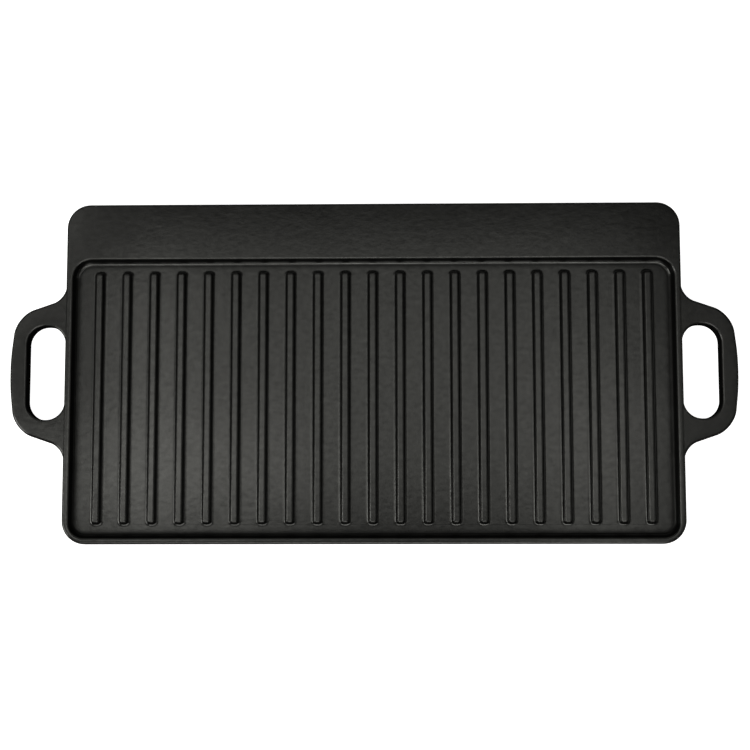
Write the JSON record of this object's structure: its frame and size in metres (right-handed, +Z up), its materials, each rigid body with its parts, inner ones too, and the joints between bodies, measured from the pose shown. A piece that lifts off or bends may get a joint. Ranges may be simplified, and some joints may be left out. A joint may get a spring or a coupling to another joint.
{
  "type": "grill tray",
  "caption": "Reversible cast iron grill tray: ribbed grilling well on top, smooth griddle face below, raised land along the back and a looped handle at each end.",
  "frame": {"origin": "middle of the footprint, on the plane of the underside rim that the tray rests on", "axes": "+X along the length towards the right handle, +Y towards the wide land at the back, +Z up out of the ribbed side"},
  "size_m": [0.5076, 0.2386, 0.015],
  "materials": {
    "seasoned_iron": "satin black, seasoned with baked-on oil, fine cast grain"
  },
  "bodies": {
    "root": {"grill_plate": "seasoned_iron"}
  },
  "joints": []
}
